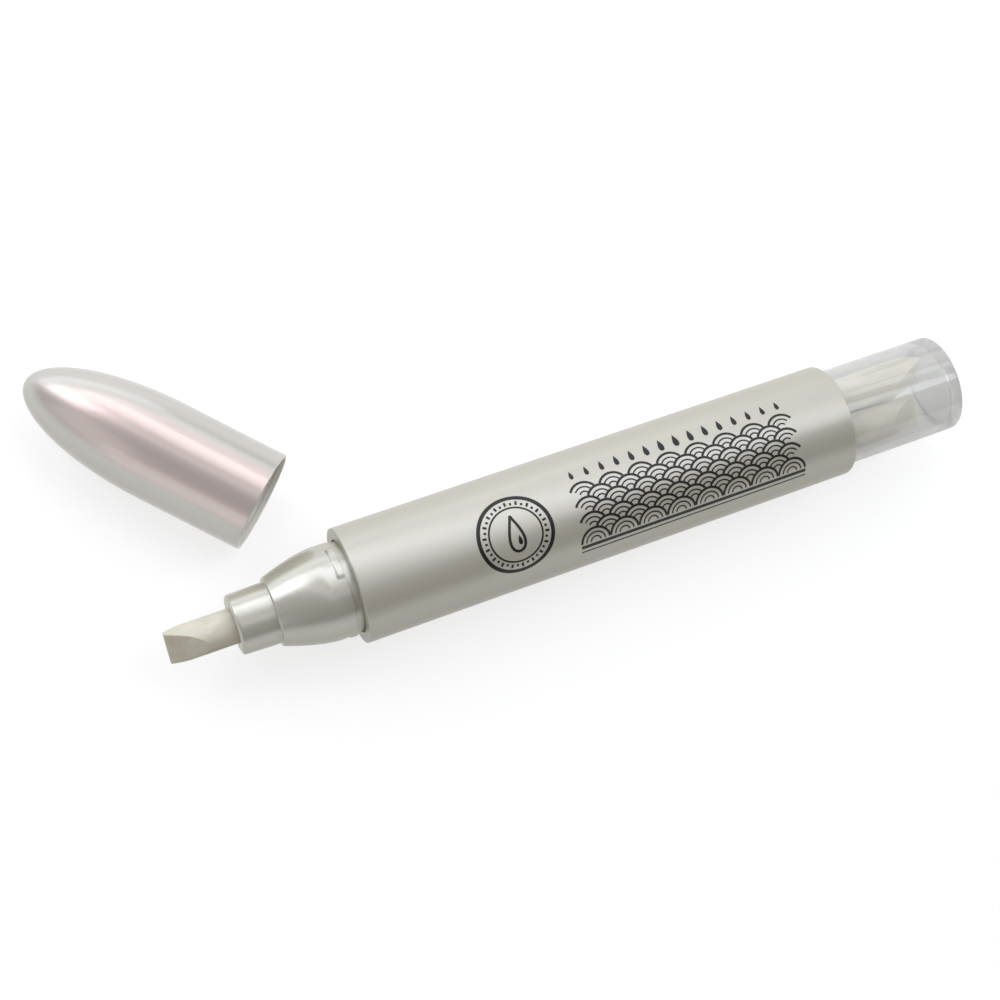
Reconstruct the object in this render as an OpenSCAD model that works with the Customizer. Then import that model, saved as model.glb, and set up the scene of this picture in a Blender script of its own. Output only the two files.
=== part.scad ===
// Felt-tip oil pen with a bullet cap and spare tips under a clear tail cover.
// Frame: +X runs along the pen to its tail, the tip points to -X and +Z is up.
// The origin is on the pen's axis at the front end of the barrel.
// The pen and its cap lie on one table, with the cap taken off and laid beside the tip.

/* [Barrel] */
// Outside diameter of the barrel
barrel_d = 15.0; // [14.5:0.1:18]
// Length of the barrel
barrel_len = 68.2; // [62:0.1:90]
// Wall of the barrel
barrel_wall = 1.0; // [0.8:0.05:1.2]
// Bevel on the barrel's two outer edges
barrel_edge = 0.15; // [0.1:0.05:0.4]
// Length of the lip at the front end of the bore
lip_len = 1.5; // [1:0.1:2.5]
// Reach of the lip in from the bore, on the radius
lip_reach = 0.45; // [0.3:0.05:0.6]
// Number of straight guide ribs in the bore
guide_count = 6; // [4:1:8]
// Width of a guide rib
guide_w = 0.8; // [0.5:0.1:1.2]
// Height of a guide rib
guide_h = 0.75; // [0.65:0.05:0.9]

/* [Nose section] */
// Length from the barrel forward over the round seat that the cap closes on
seat_len = 4.3; // [3.5:0.1:6]
// Length of the recess between the seat and the barrel
recess_len = 0.95; // [0.6:0.05:1.2]
// Depth of the recess below the seat
recess_depth = 0.2; // [0.16:0.01:0.3]
// Depth to which the recess runs in under the barrel's lip
recess_under = 0.3; // [0.1:0.1:0.5]
// Length of the curved cone in front of the seat
cone_len = 5.6; // [4:0.1:8]
// Power of the cone's curve, where 1 is a straight cone
cone_power = 1.2; // [1:0.05:2]
// Height of the square step between the cone and the collar
step_h = 0.45; // [0.3:0.05:0.7]
// Rounding of the step's outer edge
step_round = 0.12; // [0.05:0.01:0.2]
// Length of the collar that grips the tip
collar_len = 5.0; // [3.5:0.1:7]
// Wall of the collar where it leaves the step
collar_wall = 1.7; // [1.4:0.05:1.9]
// Fall of the collar's radius to its front end
collar_draft = 0.12; // [0.05:0.01:0.2]
// Rounding of the collar's front edge
collar_round = 0.5; // [0.3:0.05:0.7]
// Wall of the seat and the cone round their hollow
nose_wall = 1.1; // [0.9:0.05:1.5]
// Length of the flange behind the barrel's lip
flange_len = 1.5; // [1:0.1:2.5]
// Length of the skirt round the front of the reservoir
skirt_len = 6.0; // [4:0.1:9]
// Wall of the skirt
skirt_wall = 0.5; // [0.4:0.05:0.55]
// Number of snap beads round the seat
bead_count = 3; // [2:1:4]
// Angle that a snap bead covers
bead_arc = 43; // [20:1:50]
// Height of a snap bead
bead_h = 0.16; // [0.1:0.01:0.2]
// Width of a snap bead along the pen
bead_w = 1.0; // [0.5:0.1:1.2]
// Length of seat left behind a bead
bead_inset = 0.1; // [0.05:0.05:0.3]
// Turn of the first bead's middle from the viewer's side
bead_turn = 34; // [20:1:60]
// Number of air grooves in the bore of the collar
groove_count = 3; // [2:1:4]
// Width of an air groove
groove_w = 0.7; // [0.4:0.05:0.9]
// Depth of an air groove
groove_depth = 0.35; // [0.2:0.05:0.5]

/* [Tips] */
// Length of a tip
nib_len = 29.0; // [27:0.5:32]
// Length of tip that stands out of the collar
nib_out = 8.4; // [6:0.1:10]
// Length of the two flats of the chisel
flat_len = 4.7; // [3.5:0.1:6]
// Thickness of the chisel's edge
edge_t = 0.5; // [0.3:0.05:0.9]
// Bevel round the back end of a tip
nib_bevel = 0.4; // [0.2:0.05:0.6]
// Turn of the chisel in use from the viewer's side
nib_roll = 37; // [0:1:90]

/* [Reservoir] */
// Thickness of the film round the wadding
film_t = 0.1; // [0.08:0.01:0.2]
// Length of wadding that the film leaves bare at each end
film_bare = 0.6; // [0.2:0.1:1.5]
// Depth of the tip's hole in the wadding behind the tip
hole_spare = 0.4; // [0.2:0.1:1]

/* [Tail] */
// Length of clear cover that stands out of the barrel
cover_out = 17.0; // [15:0.1:22]
// Length of clear cover inside the barrel
cover_in = 5.8; // [4:0.1:8]
// Wall of the clear cover
cover_wall = 0.8; // [0.6:0.05:0.85]
// Thickness of the cover's flat end
cover_end = 1.0; // [0.8:0.1:1.6]
// Bevel on the cover's outer end edge
cover_edge = 0.2; // [0.1:0.05:0.4]
// Thickness of the holder's floor behind the reservoir
floor_t = 1.2; // [0.8:0.1:2]
// Depth of the well between the sockets below their floors
well_deep = 0.3; // [0.2:0.1:0.5]
// Least wall between a socket and the outside of the holder's neck
neck_wall = 0.45; // [0.4:0.05:0.8]
// Least distance between the circles of two sockets
socket_gap = 0.336; // [0.3:0.002:0.4]
// Depth of the neck's end face below the barrel's back end
neck_below = 0.5; // [0.3:0.1:1]
// Gap between the upper spare tip and the cover's end wall
spare_gap = 2.0; // [1.9:0.1:5]
// Length by which the upper spare tip stands prouder than the others
spare_proud = 2.2; // [0.3:0.1:2.5]
// Turn of the upper spare chisel from the viewer's side
upper_roll = 55; // [0:1:90]
// Turn of the lower spare chisel from the viewer's side
lower_roll = 25; // [0:1:90]
// Turn of the rear spare chisel from the viewer's side
rear_roll = 70; // [0:1:90]

/* [Cap] */
// Wall of the cap at its mouth
cap_wall = 0.45; // [0.4:0.05:0.8]
// Thickness of the cap at the end of its nose
cap_nose_t = 1.6; // [1:0.1:2.5]
// Length of the cap's curved nose
cap_nose_len = 19.0; // [17:0.5:21]
// Distance from the liner's closed end to the end of the cap's nose
cap_nose_room = 8.4; // [8:0.1:11]
// Stretch of the cap over a bead, on the radius
bead_bite = 0.06; // [0.02:0.01:0.08]
// Depth of the ring groove that takes the beads
bead_groove = 0.12; // [0.08:0.01:0.2]
// Room in the ring groove on each side of the beads
groove_room = 0.3; // [0.1:0.05:0.4]
// Number of ribs inside the cap that hold the liner
cap_rib_count = 6; // [4:1:8]
// Width of a rib inside the cap
cap_rib_w = 0.7; // [0.5:0.1:1]
// Step in from the cap's bore to the seat of the liner, on the radius
liner_step = 0.2; // [0.16:0.01:0.3]
// Wall of the liner
liner_wall = 0.6; // [0.5:0.05:0.7]
// Thickness of the liner's flange
liner_flange_t = 1.2; // [0.8:0.1:2]
// Gap between the liner's mouth and the step of the capped pen
liner_gap = 0.6; // [0.4:0.1:1]
// Room in the liner in front of the capped tip
tip_room = 0.7; // [0.4:0.1:1.5]
// Rounding of the liner's closed end
liner_round = 1.5; // [1:0.1:2]

/* [Places] */
// Place of the cap's mouth along the pen
cap_at_x = -6.2; // [-12:0.1:0]
// Place of the cap's mouth to the side of the pen
cap_at_y = 13.8; // [13.5:0.1:40]
// Direction in which the cap's nose points
cap_yaw = 132.8; // [110:0.1:160]
// Direction of the viewer round the pen, from +Z towards -Y
viewer = 11; // [0:1:30]

/* [Hidden] */
$fn = 96;
// Running clearance on the radius between pieces that move
run_gap = 0.05;
// Clearance on the radius between pieces pressed together
fit_gap = 0.02;
// Gap at the end face of a piece that rests in a seat
rest_gap = 0.1;
// Overrun of every cut
cut = 0.5;
// Facets of an outline's round corner, of the cone and of the cap's nose
corner_steps = 6;
cone_steps = 14;
cap_steps = 30;
// Angle between neighbouring spare tips
third_turn = 120;

barrel_r = barrel_d / 2;
bore_r = barrel_r - barrel_wall;
lip_r = bore_r - lip_reach;
film_r = bore_r - guide_h - fit_gap;
core_r = film_r - film_t - fit_gap;

cover_r = bore_r - run_gap;
cover_in_r = cover_r - cover_wall;
neck_r = cover_in_r - run_gap;

// Three spare tips share the neck of their holder, which sets the diameter of every tip.
third_sin = sin(third_turn / 2);
socket_r = (neck_r - neck_wall - socket_gap / 2 / third_sin) / (1 + 1 / third_sin);
socket_place_r = (socket_r + socket_gap / 2) / third_sin;
nib_r = socket_r - run_gap;

grip_r = nib_r + run_gap;
collar_r = nib_r + collar_wall;
collar_tip_r = collar_r - collar_draft;
step_r = collar_r + step_h;
seat_r = lip_r - fit_gap;
flange_r = bore_r - fit_gap;
pocket_r = film_r + fit_gap;
skirt_r = pocket_r + skirt_wall;
step_x = -seat_len - cone_len;
collar_x = step_x - collar_len;
hollow_x = step_x + nose_wall;
flange_back_x = lip_len + flange_len;
skirt_back_x = flange_back_x + skirt_len;
tip_x = collar_x - nib_out;
tip_back_x = tip_x + nib_len;

cover_mouth_x = barrel_len - cover_in;
cover_back_x = barrel_len + cover_out;
cover_wall_x = cover_back_x - cover_end;
neck_x = cover_mouth_x - rest_gap;
neck_back_x = barrel_len - neck_below;
upper_tip_x = cover_wall_x - spare_gap;
lower_tip_x = upper_tip_x - spare_proud;
socket_x = lower_tip_x - nib_len - rest_gap;
plug_x = socket_x - floor_t;
core_x = lip_len + rest_gap;
core_back_x = plug_x - rest_gap;

cap_in_r = seat_r + bead_h - bead_bite;
cap_r = cap_in_r + cap_wall;
liner_seat_r = cap_in_r - liner_step;
liner_in_r = collar_r + run_gap;
liner_r = liner_in_r + liner_wall;
liner_x = seat_len + cone_len + liner_gap;
liner_floor_x = seat_len + cone_len + collar_len + nib_out + tip_room;
liner_back_x = liner_floor_x + liner_wall;
rib_x = liner_x + liner_flange_t;
cap_len = liner_back_x + cap_nose_room;
cap_straight = cap_len - cap_nose_len;
cap_in_nose = cap_nose_len - cap_nose_t;
cap_z = cap_r - barrel_r;

// Revolves an outline of [radius, x] points about the X axis.
module revolve(outline) {
    rotate([0, 90, 0]) rotate_extrude() polygon(outline);
}

// Round bar along X from x1 to x2.
module bar(x1, x2, r) {
    translate([x1, 0, 0]) rotate([0, 90, 0]) cylinder(h = x2 - x1, r = r);
}

// Straight key along X, from r1 to r2 away from the axis, repeated round the axis.
module keys(count, x1, x2, r1, r2, width) {
    for (i = [0 : count - 1])
        rotate([i * 360 / count, 0, 0])
            translate([x1, -width / 2, r1])
                cube([x2 - x1, width, r2 - r1]);
}

// Places a piece of the cap on the table, its mouth at the piece's own origin.
module lay_cap() {
    translate([cap_at_x, cap_at_y, cap_z]) rotate([0, 0, cap_yaw]) children();
}

// Points of a rounded outer corner that starts on an end face at x.
function front_corner(r, x, round) = [
    for (i = [0 : corner_steps])
        let (a = 90 * i / corner_steps)
            [r - round + round * sin(a), x + round - round * cos(a)]
];

// Points of a rounded outer corner that ends on an end face at x.
function back_corner(r, x, round) = [
    for (i = [0 : corner_steps])
        let (a = 90 * i / corner_steps)
            [r - round + round * cos(a), x - round + round * sin(a)]
];

// Radius of the nose at a share of the cone's length in front of the seat.
function cone_radius(share) = seat_r - (seat_r - step_r) * pow(share, cone_power);

module barrel() {
    color("#d3d4ca") {
        difference() {
            revolve([
                [0, 0],
                [barrel_r - barrel_edge, 0],
                [barrel_r, barrel_edge],
                [barrel_r, barrel_len - barrel_edge],
                [barrel_r - barrel_edge, barrel_len],
                [0, barrel_len]
            ]);
            bar(-cut, lip_len + cut, lip_r);
            bar(lip_len, barrel_len + cut, bore_r);
        }
        keys(guide_count, skirt_back_x + rest_gap, plug_x - rest_gap,
             bore_r - guide_h, bore_r + barrel_wall / 2, guide_w);
    }
}

// Outside of the nose, from the collar's front to the end of the skirt.
module nose_outside() {
    cone = [
        for (i = [0 : cone_steps])
            let (share = 1 - i / cone_steps)
                [cone_radius(share), -seat_len - cone_len * share]
    ];
    revolve(concat(
        [[0, collar_x]],
        front_corner(collar_tip_r, collar_x, collar_round),
        [[collar_r, step_x]],
        [[step_r - step_round, step_x]],
        [for (p = cone) if (p[1] > step_x) p],
        [
            [seat_r, -recess_len],
            [seat_r - recess_depth, -recess_len],
            [seat_r - recess_depth, recess_under],
            [seat_r, recess_under],
            [seat_r, lip_len],
            [flange_r, lip_len],
            [flange_r, flange_back_x],
            [skirt_r, flange_back_x],
            [skirt_r, skirt_back_x],
            [0, skirt_back_x]
        ]
    ));
}

// Hollow of the nose: the cone's inside, the seat's inside and the reservoir's pocket.
module nose_hollow() {
    cone = [
        for (i = [0 : cone_steps])
            let (share = 1 - i / cone_steps)
                [cone_radius(share) - nose_wall, -seat_len - cone_len * share]
    ];
    revolve(concat(
        [[0, hollow_x - grip_r], [grip_r, hollow_x]],
        [for (p = cone) if (p[1] > hollow_x) p],
        [
            [seat_r - nose_wall, lip_len],
            [pocket_r, lip_len],
            [pocket_r, skirt_back_x + cut],
            [0, skirt_back_x + cut]
        ]
    ));
}

// Low bead over an angle of the seat's back end, its middle on +Z.
module seat_bead() {
    x = -recess_len - bead_inset;
    rotate([-bead_arc / 2, 0, 0])
        rotate([0, 90, 0])
            rotate([0, 0, 180])
                rotate_extrude(angle = bead_arc)
                    polygon([
                        [seat_r - bead_h, x - bead_w],
                        [seat_r, x - bead_w],
                        [seat_r + bead_h, x - bead_w * 2 / 3],
                        [seat_r + bead_h, x - bead_w / 3],
                        [seat_r, x],
                        [seat_r - bead_h, x]
                    ]);
}

module nose_section() {
    color("#dcdbd2") {
        difference() {
            nose_outside();
            nose_hollow();
            bar(collar_x - cut, hollow_x + cut, grip_r);
            keys(groove_count, collar_x - cut, hollow_x + cut,
                 grip_r - groove_depth, grip_r + groove_depth, groove_w);
        }
        for (i = [0 : bead_count - 1])
            rotate([viewer - bead_turn + i * 360 / bead_count, 0, 0]) seat_bead();
    }
}

// Felt rod with its chisel edge at its own origin and its back end at +X.
module felt_tip() {
    color("#dedfd3")
        difference() {
            revolve([
                [0, 0],
                [nib_r, 0],
                [nib_r, nib_len - nib_bevel],
                [nib_r - nib_bevel, nib_len],
                [0, nib_len]
            ]);
            for (side = [0, 180])
                rotate([side, 0, 0])
                    rotate([90, 0, 0])
                        linear_extrude(height = 2 * nib_r + cut, center = true)
                            polygon([
                                [-cut, edge_t / 2],
                                [0, edge_t / 2],
                                [flat_len, nib_r],
                                [flat_len, nib_r + cut],
                                [-cut, nib_r + cut]
                            ]);
        }
}

module nib() {
    translate([tip_x, 0, 0]) rotate([viewer + nib_roll, 0, 0]) felt_tip();
}

module reservoir_core() {
    color("#e9e4d2")
        difference() {
            bar(core_x, core_back_x, core_r);
            bar(core_x - cut, tip_back_x + hole_spare, nib_r + run_gap);
        }
}

module reservoir_film() {
    color("#eceeee", 0.5)
        difference() {
            bar(core_x + film_bare, core_back_x - film_bare, film_r);
            bar(core_x, core_back_x, core_r + fit_gap);
        }
}

// Carries its children to the place of one spare tip, counted from the upper one.
module at_spare(index) {
    rotate([viewer - third_turn / 2 + index * third_turn, 0, 0])
        translate([0, 0, socket_place_r])
            children();
}

// Plug behind the reservoir, with three sockets that open into one well between them.
module spare_nib_holder() {
    color("#e6e6de")
        difference() {
            revolve([
                [0, plug_x],
                [flange_r, plug_x],
                [flange_r, neck_x],
                [neck_r, neck_x],
                [neck_r, neck_back_x],
                [0, neck_back_x]
            ]);
            for (i = [0 : 2])
                at_spare(i) bar(socket_x, neck_back_x + cut, socket_r);
            bar(socket_x - well_deep, neck_back_x + cut, socket_place_r);
        }
}

module tail_cover() {
    color("#eef1f2", 0.35)
        difference() {
            revolve([
                [0, cover_mouth_x],
                [cover_r, cover_mouth_x],
                [cover_r, cover_back_x - cover_edge],
                [cover_r - cover_edge, cover_back_x],
                [0, cover_back_x]
            ]);
            bar(cover_mouth_x - cut, cover_wall_x, cover_in_r);
        }
}

// Spare tip in its socket, its chisel towards the tail.
module spare_nib(index, x, roll) {
    socket_turn = viewer - third_turn / 2 + index * third_turn;
    at_spare(index)
        translate([x, 0, 0])
            rotate([viewer + roll - socket_turn, 0, 0])
                mirror([1, 0, 0])
                    felt_tip();
}

module spare_nib_1() {
    spare_nib(0, upper_tip_x, upper_roll);
}

module spare_nib_2() {
    spare_nib(1, lower_tip_x, lower_roll);
}

module spare_nib_3() {
    spare_nib(2, lower_tip_x, rear_roll);
}

// Bullet with its mouth at its own origin: a straight part, then half an ellipse.
module bullet(r, nose, mouth_x) {
    revolve(concat(
        [[0, mouth_x], [r, mouth_x]],
        [
            for (i = [0 : cap_steps])
                let (a = 90 * i / cap_steps)
                    [r * cos(a), cap_straight + nose * sin(a)]
        ]
    ));
}

module cap_shell() {
    color("#e6dfda")
        lay_cap() {
            difference() {
                bullet(cap_r, cap_nose_len, 0);
                bullet(liner_seat_r, cap_in_nose, -cut);
                bar(-cut, liner_x - rest_gap, cap_in_r);
                bar(recess_len - groove_room, recess_len + bead_w + groove_room,
                    cap_in_r + bead_groove);
            }
            difference() {
                intersection() {
                    bullet(liner_seat_r + cap_wall, cap_in_nose + cap_wall, rib_x);
                    keys(cap_rib_count, rib_x, cap_len, 0, cap_r, cap_rib_w);
                }
                bar(rib_x - cut, cap_len, liner_r + fit_gap);
            }
        }
}

module cap_liner() {
    color("#f1f1ec")
        lay_cap()
            difference() {
                revolve(concat(
                    [
                        [0, liner_x],
                        [liner_seat_r - fit_gap, liner_x],
                        [liner_seat_r - fit_gap, rib_x],
                        [liner_r, rib_x]
                    ],
                    back_corner(liner_r, liner_back_x, liner_round),
                    [[0, liner_back_x]]
                ));
                bar(liner_x - cut, liner_floor_x, liner_in_r);
            }
}

barrel();
nose_section();
nib();
reservoir_core();
reservoir_film();
spare_nib_holder();
tail_cover();
spare_nib_1();
spare_nib_2();
spare_nib_3();
cap_shell();
cap_liner();
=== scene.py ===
import math

import bmesh
import bpy
from mathutils import Matrix, Vector


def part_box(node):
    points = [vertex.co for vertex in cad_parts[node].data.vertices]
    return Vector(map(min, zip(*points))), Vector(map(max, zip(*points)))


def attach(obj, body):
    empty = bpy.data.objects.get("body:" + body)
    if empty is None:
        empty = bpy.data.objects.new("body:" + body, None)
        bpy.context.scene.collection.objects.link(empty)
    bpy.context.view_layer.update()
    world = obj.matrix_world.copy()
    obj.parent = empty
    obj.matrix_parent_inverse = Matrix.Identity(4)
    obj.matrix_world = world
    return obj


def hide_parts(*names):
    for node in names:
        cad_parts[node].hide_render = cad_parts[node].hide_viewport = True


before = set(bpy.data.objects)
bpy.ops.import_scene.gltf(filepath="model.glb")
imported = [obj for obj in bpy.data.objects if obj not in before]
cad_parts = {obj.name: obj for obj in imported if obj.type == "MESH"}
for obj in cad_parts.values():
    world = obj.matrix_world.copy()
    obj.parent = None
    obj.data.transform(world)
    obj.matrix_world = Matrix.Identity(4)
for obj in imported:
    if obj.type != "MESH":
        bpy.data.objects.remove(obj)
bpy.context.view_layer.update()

# Lengths below are millimetres, as on a drawing of the pen, and MM turns them into metres.
MM = 0.001

# Sizes read from the frame
BARREL_LOW, BARREL_HIGH = (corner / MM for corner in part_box("barrel"))
NOSE_LOW, NOSE_HIGH = (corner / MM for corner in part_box("nose_section"))
TIP_LOW, TIP_HIGH = (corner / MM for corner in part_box("nib"))
COVER_LOW, COVER_HIGH = (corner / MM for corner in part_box("tail_cover"))
PLUG_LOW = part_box("spare_nib_holder")[0] / MM
UPPER_SPARE_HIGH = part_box("spare_nib_1")[1] / MM
LOWER_SPARE_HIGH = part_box("spare_nib_2")[1] / MM

# Fits and edges that several pieces share
SKIN = 0.01                                  # how far the pearl skin lies inside the frame's box
FIT_GAP = 0.02
SMALL_EDGE = 0.08
RIGHT_EDGE = 0.05                            # edges that look sharp

# Barrel
BARREL_R = BARREL_HIGH.z - SKIN
BARREL_LEN = BARREL_HIGH.x
BORE_R = 6.5
LIP_R = 6.05
LIP_LEN = 1.5
BARREL_EDGE = 0.16
BORE_EDGE = 0.12
GUIDE_COUNT = 6
GUIDE_W = 0.8
GUIDE_H = 0.75
GUIDE_END_GAP = 0.1
GUIDE_ROOT = 0.3

# Nose section
SEAT_R = 6.03
SEAT_LEN = 3.1                               # straight part; the cone leaves it without a break
CONE_LEN = 6.8
CONE_POWER = 1.5
STEP_R = 4.4
COLLAR_R = 3.95
COLLAR_TIP_R = 3.83
NOSE_WALL = 1.1
POCKET_R = 5.75
SKIRT_R = 6.25
FLANGE_LEN = 1.5
RECESS_LEN = 0.95
RECESS_R = SEAT_R - 0.2
RECESS_UNDER = 0.3
SEAT_EDGE = 0.1
RECESS_EDGE = 0.06
RECESS_UNDER_EDGE = 0.04
COLLAR_ROUND = 0.5
STEP_INNER_ROUND = 0.12
STEP_OUTER_ROUND = 0.14
INNER_CONE_START = 0.3
BEAD_COUNT = 3
BEAD_H = 0.16
BEAD_W = 1.0
BEAD_FRONT_SHARE = 0.85                      # of the bead's width, in front of the recess
BEAD_BACK = 0.12
BEAD_SOFT_SHARE = 0.3
BEAD_ARC = 43                                # degrees, as the two below
BEAD_TURN = 34
BEAD_SOFT_ARC = 2.5
GROOVE_COUNT = 3
GROOVE_W = 0.7
GROOVE_DEPTH = 0.35
GROOVE_SOFT_ARC = 4

# Felt tips
TIP_R = 2.25
FLAT_LEN = 4.7
EDGE_T = 0.5
TIP_BEVEL = 0.4
WORN_W = 0.28
WORN_STEPS = 4
WORN_FROM = 25                               # degrees between faces whose edge is worn
FLAT_WITHIN = 0.3                            # degrees within which faces count as one flat
TIP_ROLL = 37                                # how far each tip's flats are turned, in degrees
UPPER_ROLL = 55
LOWER_ROLL = 25
REAR_ROLL = 70
GRIP_R = TIP_R + 0.05
SOCKET_PLACE_R = 2.85

# Clear tail cover
COVER_R = COVER_HIGH.z
COVER_IN_R = COVER_R - 0.8
COVER_END = 1.0
COVER_END_ROUND = 0.22
COVER_MOUTH_ROUND = 0.15
COVER_MOUTH_INNER_ROUND = 0.2
COVER_FLOOR_ROUND = 0.9
GATE_R = 0.9
GATE_H = 0.12

# Cap
CAP_R = 6.58
CAP_IN_R = 6.13
CAP_LEN = 33.0 - SKIN
CAP_LACQUER_EDGE = 0.2                       # what lies this far under the outside is bare plastic
CAP_NOSE_LEN = 19.0
CAP_IN_NOSE_LEN = 17.4
CAP_STRAIGHT = CAP_LEN - CAP_NOSE_LEN
CAP_MOUTH_ROUND = 0.12
CAP_GROOVE_LOW = 0.65
CAP_GROOVE_HIGH = 2.25
CAP_GROOVE_DEPTH = 0.12
CAP_RIB_COUNT = 6
CAP_RIB_W = 0.7
CAP_RIB_ROOT = 0.2
CAP_RIB_REACH_SHARE = 0.58                   # of the hollow nose's length
LINER_SEAT_R = 5.93
LINER_SEAT_X = 10.4
LINER_X = 10.5
LINER_FLANGE_BACK = 11.7
LINER_FLOOR = 24.0
LINER_BACK = 24.6
LINER_IN_R = 4.0
LINER_R = 4.6
LINER_EDGE = 0.1
LINER_MOUTH_OUTER_ROUND = 0.15
LINER_MOUTH_ROUND = 0.3
LINER_FLOOR_ROUND = 0.6
LINER_BACK_ROUND = 1.5

# Pearl
FLAKE_MM = 0.12
SHEEN_OUTLINE_SHADE = 0.75                         # how bright the sheen is towards a piece's outline: painted shade that darkens the edges

# Places: where the cap's mouth lies, where its nose points, and which side of the pen the viewer sees
CAP_MOUTH = Vector((-6.2, 13.8, CAP_R - BARREL_HIGH.z))
CAP_YAW = 132.8
VIEWER_TURN = 11                             # round the pen from straight up towards -Y, in degrees

# Print on the barrel: x runs along it, u round it from the middle of the viewer's side
PRINT_R = BARREL_HIGH.z - 0.002              # the ink stands less than 0.01 mm proud of the pearl
INK_DEPTH = 0.03
INK_JOIN = 0.002                             # points nearer than this are one
BOLD_LINE = 0.5
DROP_LINE = 0.36
ARC_LINE = 0.32
RAY_LINE = 0.3
RING_LINE = 0.24
RULE_LINE = 0.22
FINE_LINE = 0.2
MEDAL_X = 20.5
MEDAL_U = -0.8
MEDAL_R = 4.8
INNER_RING_SHARE = 0.72
MEDAL_RAYS = 36
RAY_FOOT_SHARE = 0.79
LONG_RAY_SHARE = 0.9
SHORT_RAY_SHARE = 0.86
MEDAL_DROP_H = 4.6
MEDAL_DROP_RISE = 0.2
SMALL_DROP_H = 1.3
SMALL_DROP_SHIFT = 0.35
SMALL_DROP_FALL = 0.7
FIELD_X = 28.5
FIELD_U = -5.1
FIELD_LEN = 32.0
FIELD_COLUMNS = 8
FIELD_ROWS = 7
SCALLOP_R = 2.0
BOLD_RULE_U = -5.6
FINE_RULE_U = -6.4
DROP_COUNT = 15
DROP_X = 29.9
DROP_STEP = 2.086
DROP_U = 4.2
DROP_H = 1.9
DROP_H_LOSS = 0.6                            # from the middle of the row to its ends
DROP_W_SHARE = 0.3                           # of a drop's height, from its middle line to its side
DROP_POINT_POWER = 1.5

# Table: a round sheet of card whose rim turns up, so that low views don't look past it
TABLE_Z = BARREL_LOW.z
TABLE_GAP = 0.01
TABLE_FLAT_R = 1400
TABLE_FLAT_ROUND = 300
TABLE_RIM_R = 1600
TABLE_RIM_H = 270

# Camera and lamps
CAMERA_PLACE = (-36.75, -41.95, 216.68)
CAMERA_TURN = (16.38, -9.854, -21.787)
LAMP_AIM = (20, 0, 0)
STRIP_ALONG = (240, -480, 0)
STRIP_SIZE = (700, 60)
FAR_SIZE = (700, 150)
CONE_SIZE = (250, 340)
CORNER_SIZE = (300, 200)
SQUARE_SIZE = (300, 300)
ALONG_X = (1, 0, 0)
ALONG_Y = (0, 1, 0)
ALONG_CORNER = (1, -1, 0)

# How finely the meshes are made
ROUND_STEPS = 5
ROUND_SHARE = 0.45                           # most of a side that one rounded corner takes
HOLD_SHARE = 0.1
TURN_STEPS = 192
CONE_STEPS = 26
SEAT_STEPS = 30                              # close rings, so that the beads have somewhere to rise
OUTER_BULLET_STEPS = 72
INNER_BULLET_STEPS = 40
CAP_RIB_STEPS = 14
RULE_STEPS = 40
DROP_STEPS = 36
LEAST_RING_STEPS = 8
RING_STEP = 12                               # degrees from point to point on a printed ring of 1 mm radius
AXIS_R = 1e-6                                # a point nearer to the axis than this is on it
SHARP = 38                                   # degrees between faces at a kept edge
LONG_CURVE_SHARP = 50
FELT_SHARP = 30
CARD_SHARP = 80


def srgb(hex_text):
    """Linear colour of an sRGB hex value."""
    values = [int(hex_text[i:i + 2], 16) / 255 for i in (1, 3, 5)]
    linear = [v / 12.92 if v <= 0.04045 else ((v + 0.055) / 1.055) ** 2.4 for v in values]
    return (*linear, 1.0)


def add(tree, kind, inputs=None, settings=None, stops=None):
    """Adds a node with its settings, sets or links its inputs, and returns it."""
    node = tree.nodes.new(kind)
    for name, value in (settings or {}).items():
        setattr(node, name, value)
    for name, value in (inputs or {}).items():
        if isinstance(value, bpy.types.NodeSocket):
            tree.links.new(value, node.inputs[name])
        else:
            node.inputs[name].default_value = value
    if stops:
        ramp = node.color_ramp
        while len(ramp.elements) < len(stops):
            ramp.elements.new(1.0)
        for element, (place, colour) in zip(ramp.elements, stops):
            element.position = place
            element.color = colour
    return node


def new_material(name):
    """Empty node material and its output node."""
    material = bpy.data.materials.new(name)
    material.use_nodes = True
    material.node_tree.nodes.clear()
    tree = material.node_tree
    return material, tree, add(tree, "ShaderNodeOutputMaterial")


def grain(tree, size_mm, stretch=(1.0, 1.0, 1.0), detail=2.0, roughness=0.5, yaw=0.0):
    """Noise whose lumps are size_mm across, longer where stretch is smaller, turned by yaw degrees."""
    place = add(tree, "ShaderNodeTexCoord")
    mapped = add(tree, "ShaderNodeMapping", {
        "Vector": place.outputs["Object"],
        "Rotation": (0.0, 0.0, math.radians(yaw)),
        "Scale": tuple(size_mm * MM / part for part in stretch),
    }, {"vector_type": "TEXTURE"})
    return add(tree, "ShaderNodeTexNoise", {
        "Vector": mapped.outputs["Vector"],
        "Scale": 1.0,
        "Detail": detail,
        "Roughness": roughness,
    })


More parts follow.
